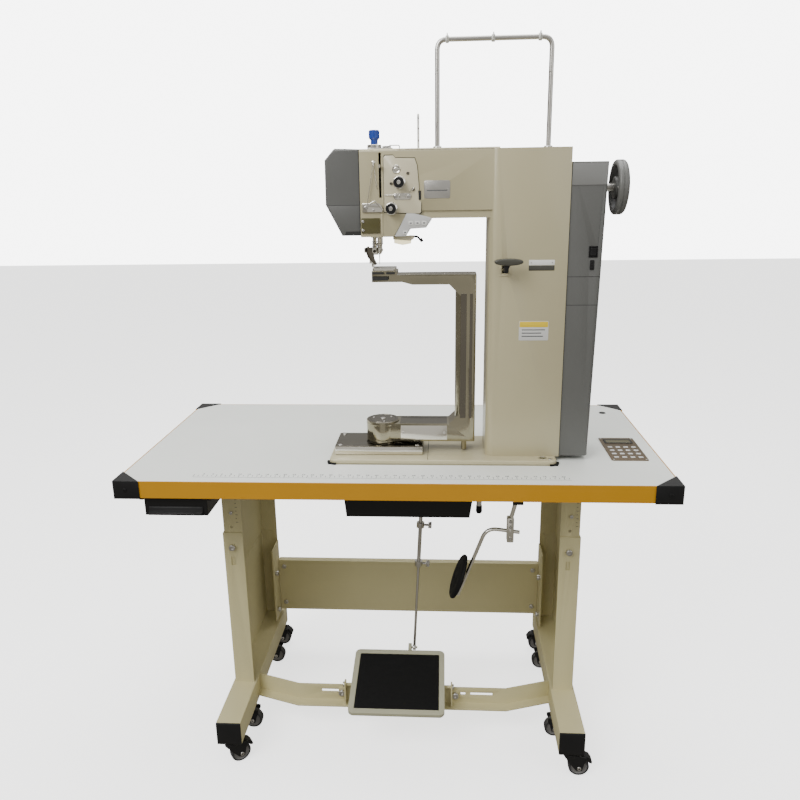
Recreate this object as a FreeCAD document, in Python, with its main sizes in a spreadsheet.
import FreeCAD, Part
import Sketcher
import os
import re

from FreeCAD import Placement, Rotation, Vector

# Post-bed leather sewing machine on a height-adjustable table, millimetres.
# Row frame: +Z up from the floor, +X to the operator's right, -Y towards the operator.
# Origin: on the floor under the middle of the table.

SIZES = (
    # table
    ("table_length", 1200, "table along X over the edge band"),
    ("table_depth", 600, "table along Y over the edge band"),
    ("table_top", 775, "table top above the floor"),
    ("board_thick", 38, "table board thickness"),
    ("band_thick", 3, "edge band thickness"),
    ("guard_leg", 56, "corner guard along each side"),
    ("guard_wall", 2, "corner guard wall"),
    ("bed_left", -150, "bed plate left edge"),
    ("bed_right", 360, "bed plate right edge"),
    ("bed_front", -185, "bed plate front edge"),
    ("bed_rear", -7, "bed plate rear edge"),
    ("bed_rise", 10, "bed plate above the table top"),
    ("bed_sink", 18, "bed plate below the table top"),
    ("bed_gap", 3, "gap round the bed plate"),
    ("bed_ledge", 12, "ledge of the board under the bed plate"),
    ("body_gap", 0.3, "gap between pieces that move on each other"),
    ("fit_gap", 0.05, "radial clearance of a pin in its hole"),
    # stand
    ("foot_centre", 415, "foot beam centre from the middle"),
    ("foot_width", 60, "foot beam width and height"),
    ("foot_low", 65, "underside of the foot beams"),
    ("foot_front", -251, "front end of the foot beams"),
    ("foot_rear", 286, "rear end of the foot beams"),
    ("foot_wall", 3, "foot beam wall"),
    ("cap_thick", 4, "foot cap thickness"),
    ("leg_width", 50, "leg channel width along X"),
    ("leg_front", -95, "front face of the legs"),
    ("leg_rear", 250, "rear face of the legs"),
    ("leg_wall", 2.5, "leg sheet thickness"),
    ("leg_joint", 556, "top of the lower leg channels"),
    ("upright_gap", 0.5, "gap between the telescoping channels"),
    ("upright_low", 400, "lower end of the uprights"),
    ("upright_lip", 4, "thickness of the uprights' top plates"),
    ("beam_low", 140, "underside of the rear crossbeam"),
    ("beam_high", 305, "top of the rear crossbeam"),
    ("beam_face", 235, "front face of the rear crossbeam"),
    ("beam_flange", 22, "flange depth of the rear crossbeam"),
    ("beam_plate", 75, "depth of the crossbeam's end plates"),
    ("bar_end", -60, "treadle bar at the foot beams"),
    ("bar_mid", -97, "treadle bar in the middle"),
    ("bar_bend", 270, "bends of the treadle bar from the middle"),
    ("bar_low", 76, "underside of the treadle bar"),
    ("bar_high", 125, "top of the treadle bar"),
    ("bar_sheet", 4, "sheet thickness of the treadle bar"),
    ("bar_flange", 25, "flange depth of the treadle bar"),
    # casters
    ("wheel_radius", 25, "caster wheel radius"),
    ("wheel_width", 20, "caster wheel width"),
    ("axle_radius", 3, "caster axle radius"),
    ("trail", 20, "caster wheel centre behind its swivel axis"),
    ("fork_wall", 3, "caster fork side wall"),
    ("crown_low", 53, "underside of the caster crown"),
    ("crown_high", 62, "top of the caster crown"),
    # treadle and pitman rod
    ("treadle_centre", -8, "treadle centre along X"),
    ("treadle_width", 240, "treadle width"),
    ("treadle_depth", 207, "treadle depth"),
    ("treadle_thick", 10, "treadle plate thickness"),
    ("treadle_tilt", 11.4, "treadle tilt in degrees, rear up"),
    ("pivot_back", -105, "treadle pivot along Y"),
    ("pivot_high", 133, "treadle pivot above the floor"),
    ("pivot_radius", 4, "treadle pivot pin radius"),
    ("rod_lean", 3, "lean of the pitman rod in degrees"),
    ("rod_radius", 3.5, "lower pitman rod radius"),
    ("tube_radius", 5, "upper pitman tube radius"),
    ("rod_length", 390, "lower pitman rod length"),
    ("tube_start", 242, "lower end of the tube along the rod"),
    ("lever_drop", 125, "speed lever's pivot below the table top"),
    ("lever_back", 65, "speed lever's pivot along Y"),
    ("lever_fork", 26, "slot of the speed lever's fork"),
    ("lever_wall", 4, "tines of the speed lever's fork"),
    ("tube_over", 20, "upper end of the tube above the speed lever's pivot"),
    # machine head
    ("needle_side", -33, "needle and post axis along X"),
    ("needle_back", -98, "needle and post axis along Y"),
    ("column_left", 202, "left face of the column"),
    ("column_right", 367, "right face of the column"),
    ("column_front", -153, "front face of the column"),
    ("column_rear", -18, "rear face of the column"),
    ("column_top", 672, "top of the column above the table"),
    ("arm_left", -67, "left end of the cast arm"),
    ("arm_front", -150, "front face of the arm"),
    ("arm_rear", -43, "rear face of the arm"),
    ("arm_top", 675, "top of the arm above the table"),
    ("arm_low", 551, "underside of the arm's full section above the table"),
    ("ledge_low", 535, "underside of the arm's ledge above the table"),
    ("head_low", 498, "underside of the needle head above the table"),
    ("cast_wall", 8, "casting wall"),
    ("cover_wall", 3, "sheet cover wall"),
    ("face_left", -140, "left end of the face cover"),
    ("motor_right", 443, "right end of the motor cover at its top"),
    ("motor_foot", 431, "right end of the motor cover at its foot"),
    ("motor_top", 643, "top of the motor cover above the table"),
    ("shaft_high", 592, "main shaft above the table"),
    ("shaft_radius", 8, "main shaft radius"),
    ("wheel_left", 464, "inner face of the handwheel"),
    ("hand_radius", 56, "handwheel radius"),
    ("hand_width", 24, "handwheel width"),
    # post arm
    ("base_left", -141, "post base plate left edge"),
    ("base_right", 61, "post base plate right edge"),
    ("base_front", -150, "post base plate front edge"),
    ("base_rear", -50, "post base plate rear edge"),
    ("base_thick", 20, "post base plate thickness"),
    ("drum_radius", 38, "post pivot drum radius"),
    ("drum_top", 81, "top of the post pivot drum above the table"),
    ("post_low", 37, "underside of the lower post arm above the table"),
    ("post_front", -130, "front face of the post arm"),
    ("post_rear", -66, "rear face of the post arm"),
    ("post_right", 179, "right face of the post column"),
    ("post_inner", 134, "left face of the post column"),
    ("post_top", 416, "top of the upper post arm above the table"),
    ("plate_top", 430, "top of the needle plate above the table"),
    ("plate_thick", 6, "needle plate thickness"),
    ("hook_radius", 13, "rotary hook radius"),
    ("bar_radius", 4, "needle bar radius"),
    ("roller_radius", 14, "roller foot radius"),
)

doc = FreeCAD.newDocument("post_bed_sewing_machine")
sheet = doc.addObject("Spreadsheet::Sheet", "dims")
for row, (alias, value, note) in enumerate(SIZES, start=1):
    sheet.set(f"A{row}", note)
    sheet.set(f"B{row}", str(value))
    sheet.setAlias(f"B{row}", alias)
doc.recompute()
ALIASES = {alias for alias, _, _ in SIZES}
FROM_TABLE = {alias for alias, _, note in SIZES if note.endswith("above the table")}
NODES = {}


def cell(match):
    """A size's cell, counted from the floor where the sheet gives it above the table."""
    name = match.group()
    if name in FROM_TABLE:
        return f"(dims.table_top + dims.{name})"
    return f"dims.{name}" if name in ALIASES else name


def linked(expression):
    """The expression with every size named as a cell of the sheet."""
    return re.sub(r"[a-z_]+", cell, str(expression))


def size(expression):
    """The expression's number."""
    return float(sheet.evalExpression(linked(expression).replace("dims.", "")))


def bind(thing, **properties):
    for name, expression in properties.items():
        thing.setExpression(name, linked(expression))
    return thing


def place(thing, x=0, y=0, z=0, turn=None):
    """Put an object at bound coordinates, with an optional fixed rotation."""
    if turn is not None:
        thing.Placement = Placement(Vector(), turn)
    for axis, expression in zip("xyz", (x, y, z)):
        thing.setExpression(f".Placement.Base.{axis}", linked(expression))
    return thing


def block(low, high):
    """A box between two corners."""
    box = doc.addObject("Part::Box", "block")
    spans = [f"({b}) - ({a})" for a, b in zip(low, high)]
    bind(box, Length=spans[0], Width=spans[1], Height=spans[2])
    return place(box, *low)


ALONG = {"X": Rotation(Vector(0, 1, 0), 90), "Y": Rotation(Vector(1, 0, 0), -90), "Z": Rotation()}


def rod(radius, length, start, axis="Z"):
    """A cylinder from its start point along a row axis."""
    cylinder = doc.addObject("Part::Cylinder", "rod")
    bind(cylinder, Radius=radius, Height=length)
    return place(cylinder, *start, turn=ALONG[axis])


def group(kind, name, shapes):
    joined = doc.addObject(kind, name)
    if kind == "Part::Compound":
        joined.Links = shapes
    else:
        joined.Shapes = shapes
    return joined


def fuse(*shapes):
    return group("Part::MultiFuse", "fuse", list(shapes))


def cut(base, *tools):
    result = doc.addObject("Part::Cut", "cut")
    result.Base = base
    result.Tool = tools[0] if len(tools) == 1 else fuse(*tools)
    return result


def node(name, thing):
    """Name a finished piece."""
    thing.Label = name
    NODES[name] = thing
    return thing


def loose(name, *shapes):
    """One node of several separate solids."""
    return node(name, group("Part::Compound", name, list(shapes)))


def corner_constraints(sketch, index, corner, point):
    for kind, expression, value in zip(("DistanceX", "DistanceY"), corner, point):
        datum = sketch.addConstraint(Sketcher.Constraint(kind, -1, 1, index, 1, value))
        sketch.setExpression(f"Constraints[{datum}]", linked(expression))


def polygon(sketch, corners):
    points = [(size(a), size(b)) for a, b in corners]
    first = sketch.GeometryCount
    for start, end in zip(points, points[1:] + points[:1]):
        sketch.addGeometry(Part.LineSegment(Vector(*start, 0), Vector(*end, 0)), False)
    for i, (corner, point) in enumerate(zip(corners, points)):
        sketch.addConstraint(Sketcher.Constraint("Coincident", first + i, 2,
                                                 first + (i + 1) % len(points), 1))
        corner_constraints(sketch, first + i, corner, point)


def circle(sketch, radius, centre):
    point = [size(value) for value in centre]
    index = sketch.addGeometry(Part.Circle(Vector(*point, 0), Vector(0, 0, 1), size(radius)), False)
    for kind, expression, value in zip(("DistanceX", "DistanceY"), centre, point):
        datum = sketch.addConstraint(Sketcher.Constraint(kind, -1, 1, index, 3, value))
        sketch.setExpression(f"Constraints[{datum}]", linked(expression))
    datum = sketch.addConstraint(Sketcher.Constraint("Radius", index, size(radius)))
    sketch.setExpression(f"Constraints[{datum}]", linked(radius))


def new_sketch(body, plane, offset):
    sketch = body.newObject("Sketcher::SketchObject", "outline")
    origin_plane = next(f for f in body.Origin.OriginFeatures if f.Role == plane + "_Plane")
    sketch.AttachmentSupport = (origin_plane, [""])
    sketch.MapMode = "FlatFace"
    sketch.setExpression("AttachmentOffset.Base.z", linked(offset))
    return sketch


def extrude(plane, corners, start, end, holes=()):
    """A body whose outline on a row plane is padded from start to end along the third axis.

    The XZ plane looks along +Y, so its pad runs back from the far end.
    """
    body = doc.addObject("PartDesign::Body", "body")
    sketch = new_sketch(body, plane, f"-({end})" if plane == "XZ" else start)
    polygon(sketch, corners)
    for radius, centre in holes:
        circle(sketch, radius, centre)
    pad = body.newObject("PartDesign::Pad", "pad")
    pad.Profile = sketch
    bind(pad, Length=f"({end}) - ({start})")
    doc.recompute()
    return body


def soften(body, radius, test):
    """Round the edges of a body that pass the test."""
    base = body.Tip
    names = [f"Edge{i}" for i, edge in enumerate(base.Shape.Edges, start=1) if test(edge)]
    fillet = body.newObject("PartDesign::Fillet", "rounding")
    fillet.Base = (base, names)
    bind(fillet, Radius=radius)
    doc.recompute()
    return body


def runs_along(edge, axis):
    """True for a straight edge parallel to a row axis."""
    if edge.Curve.TypeId != "Part::GeomLine":
        return False
    return abs(abs(edge.Curve.Direction.dot(Vector(*axis))) - 1) < 1e-6


def at(edge, **where):
    """True when the edge's middle is at the given coordinates."""
    middle = edge.CenterOfMass
    return all(abs(getattr(middle, axis) - size(value)) < 0.05 for axis, value in where.items())


def revolve(profile, x, y, z, axis_turn):
    """A body turned from a profile of (along the axis, radius) corners."""
    body = doc.addObject("PartDesign::Body", "turned")
    sketch = new_sketch(body, "XZ", "0")
    polygon(sketch, profile)
    turned = body.newObject("PartDesign::Revolution", "revolution")
    turned.Profile = sketch
    turned.ReferenceAxis = (sketch, ["H_Axis"])
    turned.Angle = 360
    doc.recompute()
    place(body, x, y, z, turn=axis_turn)
    return body


TO_X = Rotation()


# ---------------------------------------------------------------- table
def rectangle(left, front, right, rear):
    return [(left, front), (right, front), (right, rear), (left, rear)]


def build_table():
    half_x, half_y = "table_length / 2", "table_depth / 2"
    under = "table_top - board_thick"
    board = extrude("XY", rectangle(f"-{half_x} + band_thick", f"-{half_y} + band_thick",
                                    f"{half_x} - band_thick", f"{half_y} - band_thick"),
                    under, "table_top")
    opening = [("bed_left - bed_gap", "bed_front - bed_gap"), ("bed_right + bed_gap", "bed_rear + bed_gap")]
    ledge = "table_top - bed_sink - body_gap"
    upper = block((*opening[0], ledge), (*opening[1], "table_top + 1"))
    lower = block(("bed_left - bed_gap + bed_ledge", "bed_front - bed_gap + bed_ledge", f"{under} - 1"),
                  ("bed_right + bed_gap - bed_ledge", "bed_rear + bed_gap - bed_ledge", ledge))
    node("table_board", cut(board, upper, lower))
    outer = block((f"-{half_x}", f"-{half_y}", under), (half_x, half_y, "table_top"))
    inner = block((f"-{half_x} + band_thick", f"-{half_y} + band_thick", f"{under} - 1"),
                  (f"{half_x} - band_thick", f"{half_y} - band_thick", "table_top + 1"))
    node("table_edge_band", cut(outer, inner))
    guards = []
    for sx in (-1, 1):
        for sy in (-1, 1):
            x, y = f"{sx} * (table_length / 2 + guard_wall)", f"{sy} * (table_depth / 2 + guard_wall)"
            corners = [(x, y), (f"{x} - {sx} * (guard_leg + guard_wall)", y),
                       (x, f"{y} - {sy} * (guard_leg + guard_wall)")]
            prism = extrude("XY", corners, f"{under} - guard_wall", "table_top + guard_wall")
            core = block((f"-{half_x}", f"-{half_y}", under), (half_x, half_y, "table_top"))
            inside = block((f"-{half_x} + 8", f"-{half_y} + 8", f"{under} - 5"),
                           (f"{half_x} - 8", f"{half_y} - 8", "table_top - 5"))
            guards.append(cut(prism, core, inside))
    loose("table_corner_guards", *guards)


def channel(side, outer, width, front, rear, wall, low, high):
    """A C-channel that opens towards the middle of the stand."""
    solid = block((f"{side} * ({outer})" if side < 0 else f"{outer} - ({width})", front, low),
                  (f"{side} * ({outer}) + ({width})" if side < 0 else outer, rear, high))
    hollow_low = f"{side} * ({outer}) + ({wall})" if side < 0 else f"{outer} - ({width}) - 1"
    hollow_high = f"{side} * ({outer}) + ({width}) + 1" if side < 0 else f"{outer} - ({wall})"
    hollow = block((hollow_low, f"{front} + {wall}", f"{low} - 1"),
                   (hollow_high, f"{rear} - {wall}", f"{high} + 1"))
    return cut(solid, hollow)


def build_stand():
    outer = "foot_centre + foot_width / 2 - 5"
    foot_top = "foot_low + foot_width"
    for side, name in ((-1, "left"), (1, "right")):
        x = f"{side} * foot_centre"
        beam = block((f"{x} - foot_width / 2", "foot_front", "foot_low"),
                     (f"{x} + foot_width / 2", "foot_rear", foot_top))
        bore = block((f"{x} - foot_width / 2 + foot_wall", "foot_front - 1", "foot_low + foot_wall"),
                     (f"{x} + foot_width / 2 - foot_wall", "foot_rear + 1", f"{foot_top} - foot_wall"))
        leg = channel(side, outer, "leg_width", "leg_front", "leg_rear", "leg_wall", foot_top, "leg_joint")
        slot = block((f"{x} - 8", "leg_front - 1", "leg_joint - 88"),
                     (f"{x} + 2", "leg_front + leg_wall + 0.2", "leg_joint - 66"))
        inner_face = f"{side} * ({outer} - leg_width)"
        plate = block((f"{inner_face} - 2", "leg_rear - beam_plate", "beam_low - 5"),
                      (f"{inner_face} + 2", "leg_rear", "beam_high + 60"))
        foot_bores = [rod("5.3", "foot_wall + 2", (x, y, "foot_low - 1")) for y, _, _, _ in CASTERS]
        node(f"leg_frame_{name}", cut(fuse(cut(beam, bore), leg, plate), slot, *foot_bores))
    node("rear_crossbeam", cut(
        block((f"-({outer} - leg_width - 2)", "beam_face", "beam_low"),
              (f"{outer} - leg_width - 2", "beam_face + beam_flange", "beam_high")),
        block((f"-({outer})", "beam_face + leg_wall", "beam_low + leg_wall"),
              (outer, "beam_face + beam_flange + 1", "beam_high - leg_wall"))))
    caps = []
    for side in (-1, 1):
        for end, way in (("foot_front", -1), ("foot_rear", 1)):
            near, far = (f"{end} - cap_thick", end) if way < 0 else (end, f"{end} + cap_thick")
            caps.append(block((f"{side} * foot_centre - foot_width / 2 - 0.5", near, "foot_low - 0.5"),
                              (f"{side} * foot_centre + foot_width / 2 + 0.5", far, f"{foot_top} + 0.5")))
    loose("foot_caps", *caps)


def build_treadle_bar():
    end_x = "foot_centre - foot_width / 2"
    front = [(f"-({end_x})", "bar_end"), ("-bar_bend", "bar_mid"), ("bar_bend", "bar_mid"),
             (end_x, "bar_end")]
    back = [(x, f"{y} + bar_sheet") for x, y in reversed(front)]
    toe = [(x, f"{y} - bar_flange") for x, y in front]
    web = extrude("XY", front + back, "bar_low", "bar_high")
    flange = extrude("XY", toe + back, "bar_low", "bar_low + bar_sheet")
    slots = [block((low, "bar_mid - 1", "103"), (high, "bar_mid + bar_sheet + 1", "111"))
             for low, high in (("-210", "-165"), ("154", "166"), ("179", "236"))]
    lugs = []
    half = "treadle_width / 2 + 16"
    for side in (-1, 1):
        inner = f"treadle_centre + {side} * ({half})"
        low_x, high_x = (f"{inner} - 4", inner) if side < 0 else (inner, f"{inner} + 4")
        lugs.append(block((low_x, "pivot_back - 12", "bar_low + bar_sheet"),
                          (high_x, "bar_mid", "pivot_high + 10")))
        tab = (f"{inner} - 21", inner) if side < 0 else (inner, f"{inner} + 21")
        lugs.append(block((tab[0], "bar_mid - 4", "96"), (tab[1], "bar_mid", "118")))
        pin_x = f"{inner} - 4" if side < 0 else f"{inner} - 28"
        lugs.append(rod("pivot_radius", "32", (pin_x, "pivot_back", "pivot_high"), "X"))
    node("treadle_bar", fuse(cut(web, *slots), flange, *lugs))


# ---------------------------------------------------------------- casters
# along Y, side of the stand, heading in degrees, brake
CASTERS = (("-238", -1, 35, True), ("-107", -1, 0, False), ("175", -1, 0, False), ("266", -1, 0, True),
           ("-238", 1, 0, True), ("-107", 1, 180, False), ("175", 1, 180, False), ("266", 1, 180, True))


def set_down(thing, y, side, heading):
    """Turn a caster piece about its swivel axis and put it under its foot beam."""
    turned = group("Part::Compound", "turned", [thing])
    return place(turned, f"{side} * foot_centre", y, 0, turn=Rotation(Vector(0, 0, 1), heading))


LEVER_PIN = ("trail + 13.5", "51.5")


def build_fork(brake):
    inner = "wheel_width / 2 + 1"
    crown = rod("17", "crown_high - crown_low", (0, 0, "crown_low"))
    cheeks = []
    for side in (-1, 1):
        low, high = (f"-({inner} + fork_wall)", f"-({inner})")
        if side > 0:
            low, high = inner, f"{inner} + fork_wall"
        outline = [("-14", "crown_low + 5"), ("-9", "46"), ("trail - 7", "wheel_radius - 7"),
                   ("trail + 7", "wheel_radius - 7"), ("trail + 12", "38"), ("trail + 17", "47"),
                   ("trail + 17", "crown_low + 2"), ("14", "crown_low + 5")]
        cheeks.append(extrude("XZ", outline, low, high))
    outer = f"{inner} + fork_wall"
    bridge = block(("-14", f"-({outer})", "crown_low"), ("14", outer, "crown_low + 5"))
    axle = rod("axle_radius", "wheel_width + 2 + 2 * fork_wall + 3",
               ("trail", f"-({inner} + fork_wall + 1.5)", "wheel_radius"), "Y")
    socket = rod("5 + fit_gap", "crown_high - crown_low - 2", (0, 0, "crown_low + 2"))
    pin = rod("2", "wheel_width + 2 + 2 * fork_wall", (LEVER_PIN[0], f"-({outer})", LEVER_PIN[1]), "Y")
    return cut(fuse(crown, bridge, axle, *cheeks, *([pin] if brake else [])), socket)


def build_wheel():
    half = "wheel_width / 2"
    profile = [(f"-({half})", "axle_radius + fit_gap"), (half, "axle_radius + fit_gap"), (half, "9"),
               (f"{half} - 3", "11"), (f"{half} - 3", "18"), (half, "20"), (half, "wheel_radius - 3"),
               (f"{half} - 3", "wheel_radius"), (f"3 - ({half})", "wheel_radius"),
               (f"-({half})", "wheel_radius - 3"), (f"-({half})", "20"), (f"3 - ({half})", "18"),
               (f"3 - ({half})", "11"), (f"-({half})", "9")]
    return revolve(profile, "trail", 0, "wheel_radius", Rotation(Vector(0, 0, 1), 90))


def build_lever():
    outline = [("trail + 10", "50.5"), ("trail + 17", "46.5"), ("trail + 24", "38"), ("trail + 30", "36"),
               ("trail + 31", "41"), ("trail + 24", "52"), ("trail + 16", "56"), ("trail + 10", "56")]
    lever = extrude("XZ", outline, "-(wheel_width / 2)", "wheel_width / 2")
    start = (LEVER_PIN[0], "-(wheel_width / 2) - 2", LEVER_PIN[1])
    return cut(lever, rod("2 + fit_gap", "wheel_width + 4", start, "Y"))


def build_casters():
    stems = []
    for number, (y, side, heading, brake) in enumerate(CASTERS, start=1):
        node(f"caster_fork_{number}", set_down(build_fork(brake), y, side, heading))
        node(f"caster_wheel_{number}", set_down(build_wheel(), y, side, heading))
        if brake:
            node(f"brake_lever_{number}", set_down(build_lever(), y, side, heading))
        x = f"{side} * foot_centre"
        stems.append(rod("5", "foot_low + 12 - crown_low - 2.5", (x, y, "crown_low + 2.5")))
    screws = []
    for side in (-1, 1):
        inner = f"{side} * (foot_centre + foot_width / 2 - 5 - leg_width - 2)"
        for z in ("beam_low + 25", "beam_high - 20"):
            start = inner if side < 0 else f"{inner} - 5"
            screws.append(rod("6", "5", (start, "leg_rear - beam_plate + 18", z), "X"))
        screws.append(rod("6", "5", (f"{side} * foot_centre - 2", "leg_front - 5", "leg_joint - 38"), "Y"))
        screws.append(rod("7", "5", (f"treadle_centre + {side} * (treadle_width / 2 + 28)",
                                     "bar_mid - 9", "107"), "Y"))
    loose("stand_fasteners", *stems, *screws)


# ---------------------------------------------------------------- treadle and pitman rod
def tilted(thing):
    """Put a piece modelled about the treadle pivot into its place."""
    return place(thing, "treadle_centre", "pivot_back", "pivot_high",
                 turn=Rotation(Vector(1, 0, 0), size("treadle_tilt")))


EYE = ("38", "114", "19")


def lean(thing, x=0, y=0, z=0):
    return place(thing, x, y, z, turn=Rotation(Vector(0, 1, 0), size("rod_lean")))


def eye_point():
    """The pitman rod's ball joint in the row frame."""
    tilt = "treadle_tilt * 1 deg"
    y = f"pivot_back + {EYE[1]} * cos({tilt}) - {EYE[2]} * sin({tilt})"
    z = f"pivot_high + {EYE[1]} * sin({tilt}) + {EYE[2]} * cos({tilt})"
    return f"treadle_centre + {EYE[0]}", y, z


def build_treadle_group():
    half_w, front, rear = "treadle_width / 2", "1 - treadle_depth / 2", "1 + treadle_depth / 2"
    plate = extrude("XY", rectangle(f"-({half_w})", front, half_w, rear), "8", "8 + treadle_thick")
    soften(plate, "14", lambda edge: runs_along(edge, (0, 0, 1)))
    recess = block((f"14 - ({half_w})", f"{front} + 14", "treadle_thick + 5"),
                   (f"{half_w} - 14", f"{rear} - 14", "9 + treadle_thick"))
    lugs, bores = [], []
    for side in (-1, 1):
        low, high = (f"-({half_w})", f"10 - ({half_w})") if side < 0 else (f"{half_w} - 10", half_w)
        lugs.append(block((low, "-14", "-7"), (high, "14", "9")))
        bores.append(rod("pivot_radius + fit_gap", "14", (f"{low} - 2", 0, 0), "X"))
    lug = block((f"{EYE[0]} - 16", f"{rear} - 4", "8"), (f"{EYE[0]} - 7", f"{EYE[1]} + 7", "27"))
    pin = rod("3", "18", (f"{EYE[0]} - 10", EYE[1], EYE[2]), "X")
    node("treadle_plate", tilted(cut(fuse(plate, *lugs, lug, pin), recess, *bores)))

    eye_ring = cut(rod("7", "8", (-4, 0, 0), "X"), rod("3 + fit_gap", "10", (-5, 0, 0), "X"))
    shank = cut(rod("rod_radius", "rod_length", (0, 0, 0)), rod("6", "10", (-5, 0, 0), "X"))
    node("pitman_rod_lower", fuse(place(eye_ring, *eye_point()), lean(shank, *eye_point())))

    tube_end = f"(table_top - lever_drop + tube_over - ({eye_point()[2]})) / cos(rod_lean * 1 deg)"
    tube = cut(rod("tube_radius", f"{tube_end} - tube_start", (0, 0, "tube_start")),
               rod("rod_radius + 0.1", tube_end, (0, 0, "tube_start - 1")))
    clamps = []
    for height in ("tube_start + 6", "tube_start + 116"):
        ring = cut(rod("10", "14", (0, 0, height)), rod("tube_radius", "20", (0, 0, f"{height} - 1")))
        clamps += [ring, rod("3", "12", (9, 0, f"{height} + 7"), "X"),
                   block((20, -8, f"{height} + 2"), (23, 8, f"{height} + 12"))]
    node("pitman_tube_upper", lean(fuse(tube, *clamps), *eye_point()))


def build_speed_control():
    """The speed sensor's box and the forked lever that the pitman tube works."""
    under, high = "table_top - board_thick", "table_top - lever_drop"
    rod_side = f"treadle_centre + {EYE[0]} + ({high} - ({eye_point()[2]})) * tan(rod_lean * 1 deg)"

    def beside(offset):
        return f"{rod_side} + ({offset})"

    box = block((beside("7"), "40", f"{high} - 25"), (beside("57"), "100", under))
    pin = rod("4", "20", (beside("-11"), "lever_back", high), "X")
    node("speed_sensor", fuse(box, pin))
    half, wall = "lever_fork / 2", "lever_wall"
    outline = [(beside(f"-{half} - {wall}"), "-14"), (beside(f"-{half}"), "-14"), (beside(f"-{half}"), "18"),
               (beside(half), "18"), (beside(half), "-14"), (beside(f"{half} + {wall}"), "-14"),
               (beside(f"{half} + {wall}"), "30"), (beside("5"), "30"), (beside("5"), "lever_back - 5"),
               (beside("-9"), "lever_back - 5"), (beside("-9"), "30"), (beside(f"-{half} - {wall}"), "30")]
    arm = extrude("XY", outline, f"{high} - 4", f"{high} + 4")
    hub = rod("10", "14", (beside("-9"), "lever_back", high), "X")
    bore = rod("4 + fit_gap", "40", (beside("-15"), "lever_back", high), "X")
    node("speed_lever", cut(fuse(arm, hub), bore))


# ---------------------------------------------------------------- under the table
def build_uprights():
    outer = "foot_centre + foot_width / 2 - 5 - leg_wall - upright_gap"
    width = "leg_width - leg_wall - upright_gap"
    under = "table_top - board_thick"
    pieces = []
    for side in (-1, 1):
        web = channel(side, outer, width, "leg_front + leg_wall + upright_gap",
                      "leg_rear - leg_wall - upright_gap", "leg_wall", "upright_low", under)
        x = f"{side} * foot_centre"
        plate = block((f"{x} - 30", "leg_front - 5", f"{under} - upright_lip"),
                      (f"{x} + 30", "leg_rear + 5", under))
        hole = rod("4", "leg_wall + 3", (f"{x} - 2", "leg_front + 1", "leg_joint + 15"), "Y")
        pieces.append(cut(fuse(web, plate), hole))
    loose("table_uprights", *pieces)


def build_oil_pan():
    under = "table_top - board_thick"
    outline = [("-125", under), ("-116", "table_top - 132"), ("168", "table_top - 132"), ("182", under)]
    inner = [("-122.5", f"{under} + 1"), ("-113.5", "table_top - 129.5"), ("165.5", "table_top - 129.5"),
             ("179.5", f"{under} + 1")]
    pan = cut(extrude("XZ", outline, "-178", "-28"), extrude("XZ", inner, "-175.5", "-30.5"))
    rim = cut(block(("-150", "-192", f"{under} - 2"), ("207", "-14", under)),
              block(("-125", "-178", f"{under} - 3"), ("182", "-28", f"{under} + 1")))
    node("oil_pan", fuse(pan, rim))


DRAWER = {"left": "-545", "right": "-405", "front": "-282", "rear": "-108"}


def build_drawer():
    under = "table_top - board_thick"
    left, right, front, rear = (DRAWER[k] for k in ("left", "right", "front", "rear"))
    shell = cut(block((left, front, "table_top - 86"), (right, rear, f"{under} - 5")),
                block((f"{left} + 3", f"{front} + 3", "table_top - 83"),
                      (f"{right} - 3", f"{rear} - 3", under)))
    flanges = [block((f"{left} - 6", front, f"{under} - 8"), (left, rear, f"{under} - 5")),
               block((right, front, f"{under} - 8"), (f"{right} + 6", rear, f"{under} - 5"))]
    node("drawer", fuse(shell, *flanges))
    rails = []
    for side, edge in ((-1, left), (1, right)):
        wall = (f"{edge} - 10", f"{edge} - 7") if side < 0 else (f"{edge} + 7", f"{edge} + 10")
        lip = (f"{edge} - 10", f"{edge} - 1") if side < 0 else (f"{edge} + 1", f"{edge} + 10")
        rails.append(fuse(block((wall[0], front, f"{under} - 12"), (wall[1], f"{rear} + 4", under)),
                          block((lip[0], front, f"{under} - 12"), (lip[1], f"{rear} + 4", f"{under} - 9"))))
    loose("drawer_runners", *rails)


KNEE = ("278", "-150", "table_top - 88")


def build_knee_lifter():
    under = "table_top - board_thick"
    x, y, z = KNEE
    lugs = [block((f"{x} - 12", f"{y} + {a}", f"{z} - 12"), (f"{x} + 12", f"{y} + {b}", under))
            for a, b in ((-26, -20), (20, 26))]
    flange = block((f"{x} - 24", f"{y} - 50", f"{under} - 4"), (f"{x} + 24", f"{y} + 30", under))
    pin = rod("6", "50", (x, f"{y} - 25", z), "Y")
    node("knee_lift_bracket", fuse(*lugs, flange, pin))


def tube_through(points, radius):
    """A round bar through points in the XZ plane with rounded bends."""
    pieces = []
    for start, end in zip(points, points[1:]):
        pieces.append(Part.makeCylinder(radius, (end - start).Length, start, end - start))
    pieces += [Part.makeSphere(radius, p) for p in points[1:-1]]
    return pieces[0].multiFuse(pieces[1:])


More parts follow.
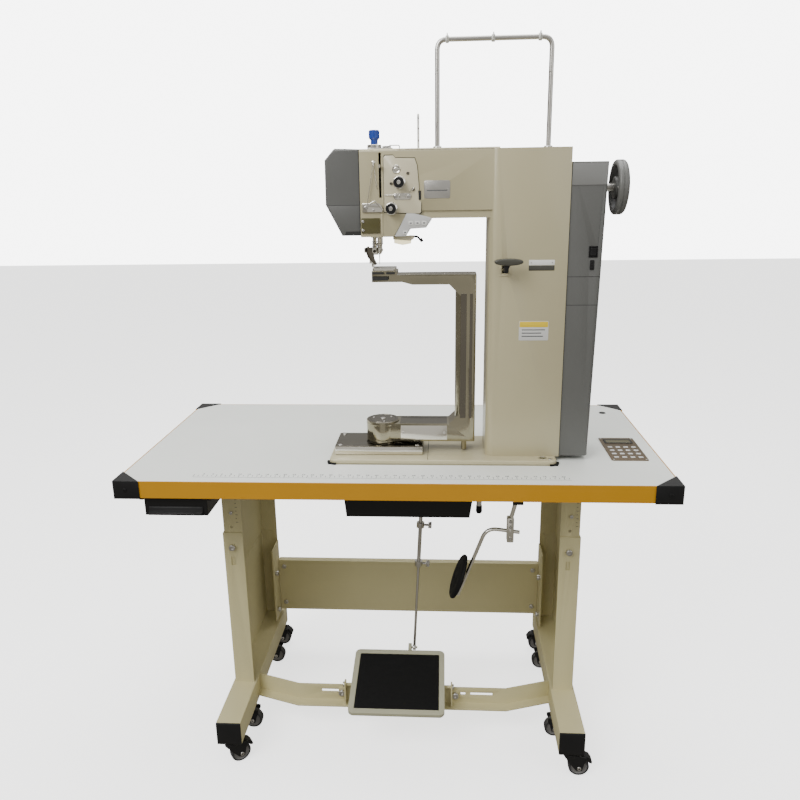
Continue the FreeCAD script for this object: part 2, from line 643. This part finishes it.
def build_knee_arm():
    x, y, z = (size(value) for value in KNEE)
    top = size("table_top")
    hub = Part.makeCylinder(11, 38, Vector(x, y - 19, z), Vector(0, 1, 0))
    drop = tube_through([Vector(x, y, z), Vector(264, y, top - 150)], 5)
    clamp = Part.makeBox(16, 18, 62, Vector(256, y - 9, top - 203))
    corners = [Vector(286, y, top - 180), Vector(209, y, top - 170), Vector(144, y, top - 346)]
    bent = tube_through(corners, 4.5)
    bore = Part.makeCylinder(6 + size("fit_gap"), 60, Vector(x, y - 30, z), Vector(0, 1, 0))
    arm = doc.addObject("Part::Feature", "knee_lift_arm")
    arm.Shape = hub.multiFuse([drop, clamp, bent]).cut(bore).removeSplitter()
    node("knee_lift_arm", arm)
    along = Vector(-65, 0, -176).normalize()
    outward = Vector(-176, 0, 65).normalize()
    centre = Vector(160, y, top - 303)
    disc = Part.makeCylinder(54, 11, centre + outward * 12, outward)
    disc = disc.makeFillet(3, [edge for edge in disc.Edges if edge.Curve.TypeId == "Part::GeomCircle"])
    hold = Part.makeCylinder(9, 10.5, centre + outward * 4.6, outward)
    pad = doc.addObject("Part::Feature", "knee_pad")
    pad.Shape = disc.fuse(hold).cut(Part.makeCylinder(4.5, 120, centre - along * 60, along))
    node("knee_pad", pad)


# ---------------------------------------------------------------- head
def build_bed():
    plate = extrude("XY", rectangle("bed_left", "bed_front", "bed_right", "bed_rear"),
                    "table_top - bed_sink", "table_top + bed_rise")
    soften(plate, "14", lambda edge: runs_along(edge, (0, 0, 1)))
    soften(plate, "3", lambda edge: at(edge, z="table_top + bed_rise"))
    node("bed_plate", plate)
    bed_top = "table_top + bed_rise"
    base = extrude("XY", rectangle("base_left", "base_front", "base_right", "base_rear"),
                   bed_top, f"{bed_top} + base_thick")
    soften(base, "4", lambda edge: runs_along(edge, (0, 0, 1)))
    bore = rod("10 + fit_gap", "16", ("needle_side", "needle_back", f"{bed_top} + base_thick - 15"))
    node("post_base", cut(base, bore))


def build_casting():
    bed_top = "table_top + bed_rise"
    column = extrude("XY", rectangle("column_left", "column_front", "column_right", "column_rear"),
                     bed_top, "column_top")
    soften(column, "18", lambda edge: runs_along(edge, (0, 0, 1)) and at(edge, x="column_left"))
    arm = extrude("XZ", [("arm_left", "head_low"), ("2", "head_low"), ("31", "ledge_low + 11"),
                         ("31", "arm_low"), ("column_left + 20", "arm_low"),
                         ("column_left + 20", "arm_top"), ("arm_left", "arm_top")],
                  "arm_front", "arm_rear")
    soften(arm, "6", lambda edge: runs_along(edge, (1, 0, 0)) and at(edge, z="arm_top"))
    ledge = block(("-20", "arm_front + 4", "ledge_low"), ("column_left + 20", "arm_rear - 4", "arm_low + 1"))
    arm_hollow = block(("arm_left - 1", "arm_front + cast_wall", "arm_low + cast_wall"),
                       ("column_left + 19", "arm_rear - cast_wall", "arm_top - cast_wall"))
    column_hollow = block(("column_left + cast_wall", "column_front + cast_wall", f"{bed_top} + cast_wall"),
                          ("column_right - cast_wall", "column_rear - cast_wall", "column_top - cast_wall"))
    head_hollow = block(("arm_left + 6", "arm_front + cast_wall", "head_low + cast_wall"),
                        ("-4", "arm_rear - cast_wall", "arm_low + cast_wall + 1"))
    needle_bore = rod("bar_radius + fit_gap", "20", ("needle_side", "needle_back", "head_low - 1"))
    presser_bore = rod("4.5 + fit_gap", "20", ("needle_side - 12", "needle_back + 22", "head_low - 1"))
    shaft_bore = rod("shaft_radius + fit_gap", "30", ("column_right - 20", "needle_back", "shaft_high"), "X")
    slot = block(("-26.5", "arm_front - 1", "table_top + 578"),
                 ("-21.5", "arm_front + cast_wall + 1", "table_top + 667"))
    knob_bore = rod("4 + fit_gap", "12", ("-39", "needle_back", "arm_top - cast_wall - 1"))
    lever_slot = block(("231", "column_front - 1", "table_top + 420"),
                       ("243", "column_front + cast_wall + 1", "table_top + 436"))
    posts = [rod("3 + fit_gap", "12", (x, "arm_front - 1", z), "Y") for x, z in TENSION_AXES]
    take_up_z = "table_top + 620"
    inside = [block(("-20", "needle_back - 8", f"{take_up_z} - 10"),
                    ("-14", "arm_rear - 2", f"{take_up_z} + 10")),
              rod("3", "10", ("-28", "needle_back", take_up_z), "X"),
              rod("2.5", "16", ("229", "column_front + 4", "table_top + 428"), "X")]
    shell = cut(fuse(column, arm, ledge), arm_hollow, column_hollow, head_hollow, needle_bore,
                                presser_bore, shaft_bore, slot, knob_bore, lever_slot, *posts)
    node("machine_casting", fuse(shell, *inside))


TENSION_AXES = (("16", "table_top + 608"), ("-1", "table_top + 556"))


def build_covers():
    right, front, rear = "arm_left - 0.5", "arm_front + 1", "arm_rear - 1"
    outline = [(right, "arm_top"), ("face_left + 20", "arm_top"), ("face_left + 1", "arm_top - 21"),
               ("face_left", "table_top + 565"), ("-107", "head_low + 3"), (right, "head_low + 3")]
    wall = "cover_wall"
    inner = [(f"{right} + 1", f"arm_top - {wall}"), (f"face_left + 21", f"arm_top - {wall}"),
             (f"face_left + {wall} + 1", "arm_top - 23"), (f"face_left + {wall}", "table_top + 566"),
             ("-105", f"head_low + 3 + {wall}"), (f"{right} + 1", f"head_low + 3 + {wall}")]
    face = extrude("XZ", outline, front, rear)
    soften(face, "4", lambda edge: not runs_along(edge, (0, 1, 0)) and edge.CenterOfMass.x < size(right) - 1)
    node("face_cover", cut(face, extrude("XZ", inner, f"{front} + {wall}", f"{rear} - {wall}")))

    left, bed_top = "column_right + 0.5", "table_top + bed_rise + 1"
    outline = [(left, bed_top), ("motor_foot", bed_top), ("motor_right", "motor_top"), (left, "motor_top")]
    inner = [(f"{left} - 1", f"{bed_top} + {wall}"), (f"motor_foot - {wall}", f"{bed_top} + {wall}"),
             (f"motor_right - {wall}", f"motor_top - {wall}"), (f"{left} - 1", f"motor_top - {wall}")]
    motor = extrude("XZ", outline, "column_front + 3", "column_rear - 2")
    foot = size("motor_foot") - 1
    soften(motor, "8", lambda edge: edge.CenterOfMass.x > foot and not runs_along(edge, (0, 1, 0)))
    front = "column_front"
    left, right, low, high = "412", "427", "table_top + 453", "table_top + 473"
    opening = block((left, front, low), (right, f"{front} + 12", high))
    bore = rod("shaft_radius + 1", "60", ("motor_foot - 20", "needle_back", "shaft_high"), "X")
    hollow = extrude("XZ", inner, f"{front} + 3 + {wall}", f"column_rear - 2 - {wall}")
    node("motor_cover", cut(motor, hollow, bore, opening))
    gap, proud, seat = "1", "3", "8"
    rocker = extrude("YZ", [(f"{front} + {proud}", f"{low} + {gap}"), (front, f"{low} + 2 * {gap}"),
                            (f"{front} + 1.5", f"{low} + 10"), (front, f"{high} - 2 * {gap}"),
                            (f"{front} + {proud}", f"{high} - {gap}"), (f"{front} + {seat}", f"{high} - 4"),
                            (f"{front} + {seat}", f"{low} + 4")], f"{left} + {gap}", f"{right} - {gap}")
    node("power_switch", rocker)


def build_thread_stand():
    left, right, y, top, bend = "94", "325", "needle_back", "table_top + 885", "20"
    feet = ((left, "arm_top"), (right, "column_top"))
    legs = [rod("5", f"{top} - {bend} - {foot}", (x, y, foot)) for x, foot in feet]
    bar = rod("5", f"{right} - {left} - 2 * {bend}", (f"{left} + {bend}", y, top), "X")
    bends = []
    for x, turn in ((f"{left} + {bend}", 90), (f"{right} - {bend}", 0)):
        torus = doc.addObject("Part::Torus", "bend")
        bind(torus, Radius1=bend, Radius2="5")
        torus.Angle3 = 90
        upright = Rotation(Vector(1, 0, 0), 90)
        place(torus, x, y, f"{top} - {bend}", turn=upright * Rotation(Vector(0, 0, 1), turn))
        bends.append(torus)
    nuts = [rod("9", "6", (x, y, foot)) for x, foot in feet]
    node("thread_stand", fuse(*legs, bar, *bends, *nuts))


# ---------------------------------------------------------------- post arm
def build_post_arm():
    head_left = "needle_side - 15"
    outline = [("needle_side", "post_low"), ("post_right", "post_low"), ("post_right", "post_top"),
               ("6", "post_top"), ("6", "plate_top - plate_thick"), (head_left, "plate_top - plate_thick"),
               (head_left, "post_top - 15"), ("18", "post_top - 15"), ("40", "post_top - 21"),
               ("post_inner - 14", "post_top - 21"), ("post_inner", "post_top - 35"),
               ("post_inner", "post_low + 55"), ("post_inner - 14", "post_low + 41"),
               ("needle_side", "post_low + 41")]
    arm = extrude("XZ", outline, "post_front", "post_rear")
    soften(arm, "19", lambda edge: runs_along(edge, (0, 0, 1)) and at(edge, x="post_inner"))
    soften(arm, "5", lambda edge: runs_along(edge, (0, 0, 1)) and at(edge, x="post_right"))
    axis = ("needle_side", "needle_back")
    bed_top = "table_top + bed_rise + base_thick"
    drum = rod("drum_radius", "drum_top - post_low", (*axis, "post_low"))
    ring = rod("31", f"post_low - ({bed_top}) - body_gap", (*axis, f"{bed_top} + body_gap"))
    stud = rod("10", "16", (*axis, f"{bed_top} - 14"))
    stop_low = "table_top + bed_rise + 3"
    stop = rod("6", f"post_low - ({stop_low})", ("post_right - 24", "needle_back - 16", stop_low))
    cavity = block(("needle_side - 9", "needle_back - 24", "post_top - 11"),
                   ("needle_side + 34", "needle_back + 24", "plate_top - plate_thick + 1"))
    hook_bore = rod("3 + fit_gap", "30", (HOOK_X, "needle_back", "post_top - 30"))
    node("post_arm", cut(fuse(arm, drum, ring, stud, stop), cavity, hook_bore))
    plate = extrude("XY", rectangle("needle_side - 14", "post_front + 4", "needle_side + 36",
                                    "post_rear - 4"),
                    "plate_top - plate_thick", "plate_top", holes=[("1.6", axis)])
    soften(plate, "5", lambda edge: runs_along(edge, (0, 0, 1)) and not at(edge, x="needle_side"))
    node("needle_plate", plate)
    node("rotary_hook", fuse(rod("hook_radius", "15", (HOOK_X, "needle_back", "post_top - 10")),
                             rod("3", "10", (HOOK_X, "needle_back", "post_top - 15"))))


HOOK_X = "needle_side + 19.5"


# ---------------------------------------------------------------- moving pieces of the head
def build_needle_group():
    x, y = "needle_side", "needle_back"
    bar = rod("bar_radius", "178", (x, y, "plate_top + 36"))
    clamp = rod("6", "14", (x, y, "plate_top + 30"))
    needle = rod("0.9", "28", (x, y, "plate_top + 9"))
    tip = doc.addObject("Part::Cone", "tip")
    bind(tip, Radius1="0.15", Radius2="0.9", Height="4")
    place(tip, x, y, "plate_top + 5")
    node("needle_bar", fuse(bar, clamp, needle, tip))
    build_presser()
    build_take_up()


def build_presser():
    y, side, back = "needle_back", "needle_side - 12", "needle_back + 22"
    low, half, high = "plate_top + 26", "7", "plate_top + 42"
    bar = rod("4.5", "180", (side, back, "plate_top + 28"))
    holder = block((f"{side} - {half}", f"{back} - {half}", low), (f"{side} + {half}", f"{back} + {half}",
                                                                   high))
    arm = extrude("YZ", [(f"{y} - 6", "plate_top + 9"), (f"{y} + 6", "plate_top + 9"),
                         (f"{back} + {half}", low),
                         (f"{back} + {half}", high), (f"{y} + 8", high), (f"{y} - 6", "plate_top + 24")],
                  f"{side} - 10", f"{side} - 6")
    axle_high, axle_radius = "plate_top + body_gap + roller_radius", "2.5"
    axle = rod(axle_radius, "9", (f"{side} - 8", y, axle_high), "X")
    node("presser_bar", fuse(bar, holder, arm, axle))
    wheel = rod("roller_radius", "5", (f"{side} - 5", y, axle_high), "X")
    bore = rod(f"{axle_radius} + fit_gap", "9", (f"{side} - 7", y, axle_high), "X")
    node("roller_foot", cut(wheel, bore))


def build_take_up():
    left, right, back = "-25.5", "-22.5", "-98"
    pivot_high, reach_low, reach_high = "table_top + 620", "table_top + 637", "table_top + 643"
    reach = block((left, "arm_front - 16", reach_low), (right, back, reach_high))
    hub = rod("7", "4", (f"{left} - 0.5", back, pivot_high), "X")
    upright = block((left, f"{back} - 4", f"{pivot_high} - 2"), (right, f"{back} + 4", reach_high))
    eye = rod("1.6", "6", (f"{left} - 1.5", "arm_front - 12", "table_top + 640"), "X")
    bore = rod("3 + fit_gap", "8", (f"{left} - 2.5", back, pivot_high), "X")
    node("take_up_lever", cut(fuse(reach, hub, upright), eye, bore))


def build_knobs():
    side, head = "-39", "arm_top + 17"
    stem = rod("4", "28", (side, "needle_back", "arm_top - cast_wall + 0.5"))
    knob = rod("11.5", "23", (side, "needle_back", head))
    node("pressure_knob", fuse(stem, knob))
    for name, (x, z) in zip(("tension_knob_upper", "tension_knob_lower"), TENSION_AXES):
        post = rod("3", "14", (x, "arm_front - 6", z), "Y")
        disc = rod("13", "8", (x, "arm_front - 14", z), "Y")
        grip = rod("11", "14", (x, "arm_front - 28", z), "Y")
        node(name, fuse(post, disc, grip))


def build_stitch_lever():
    left, right, low, front = "233", "241", "table_top + 424", "column_front"
    grip_low, grip_high = "table_top + 440", "table_top + 454"
    stem = block((left, f"{front} - 34", low), (right, f"{front} + 22", f"{low} + 8"))
    riser = block((left, f"{front} - 38", low), (right, f"{front} - 28", f"{low} + 22"))
    grip = [("212", "-190"), ("222", "-197"), ("261", "-197"), ("271", "-190"), ("261", "-181"),
            ("222", "-181")]
    handle = extrude("XY", grip, grip_low, grip_high)
    pivot = rod("2.5 + fit_gap", "16", (f"{left} - 4", f"{front} + 4", f"{low} + 4"), "X")
    node("stitch_lever", cut(fuse(stem, riser, handle), pivot))


def build_handwheel():
    width, bore, hub = "hand_width", "shaft_radius - 1", "22"
    web_left, lip = "13", "hand_radius - 9"
    profile = [("0", bore), (width, bore), (width, "hand_radius - 14"), (f"{width} - 3", "hand_radius - 4"),
               (f"{width} - 8", "hand_radius"), ("4", "hand_radius"), ("0", "hand_radius - 4"), ("0", lip),
               ("3", f"{lip} - 3"), (web_left, f"{lip} - 6"), (web_left, hub), ("0", f"{hub} - 2")]
    rim = revolve(profile, "wheel_left", "needle_back", "shaft_high", TO_X)
    shaft_end = "needle_side + 25"
    shaft_reach = f"wheel_left + 10 - ({shaft_end})"
    shaft = rod("shaft_radius", shaft_reach, (shaft_end, "needle_back", "shaft_high"), "X")
    node("handwheel", fuse(rim, shaft))


build_table()
build_stand()
build_treadle_bar()
build_casters()
build_treadle_group()
build_speed_control()
build_uprights()
build_oil_pan()
build_drawer()
build_knee_lifter()
build_knee_arm()
build_bed()
build_casting()
build_covers()
build_thread_stand()
build_post_arm()
build_needle_group()
build_knobs()
build_stitch_lever()
build_handwheel()
doc.recompute()

for thing in doc.Objects:
    if "Invalid" in thing.State or "Error" in thing.State:
        raise RuntimeError(f"{thing.Name} ({thing.Label}) failed: {thing.State}")
for name, thing in NODES.items():
    if thing.Shape.isNull() or not thing.Shape.isValid() or not thing.Shape.Solids:
        raise RuntimeError(f"{name} has no valid solid")

os.makedirs("parts", exist_ok=True)
for name, thing in NODES.items():
    thing.Shape.exportStep(os.path.join("parts", name + ".step"))
print(len(NODES), "nodes written")
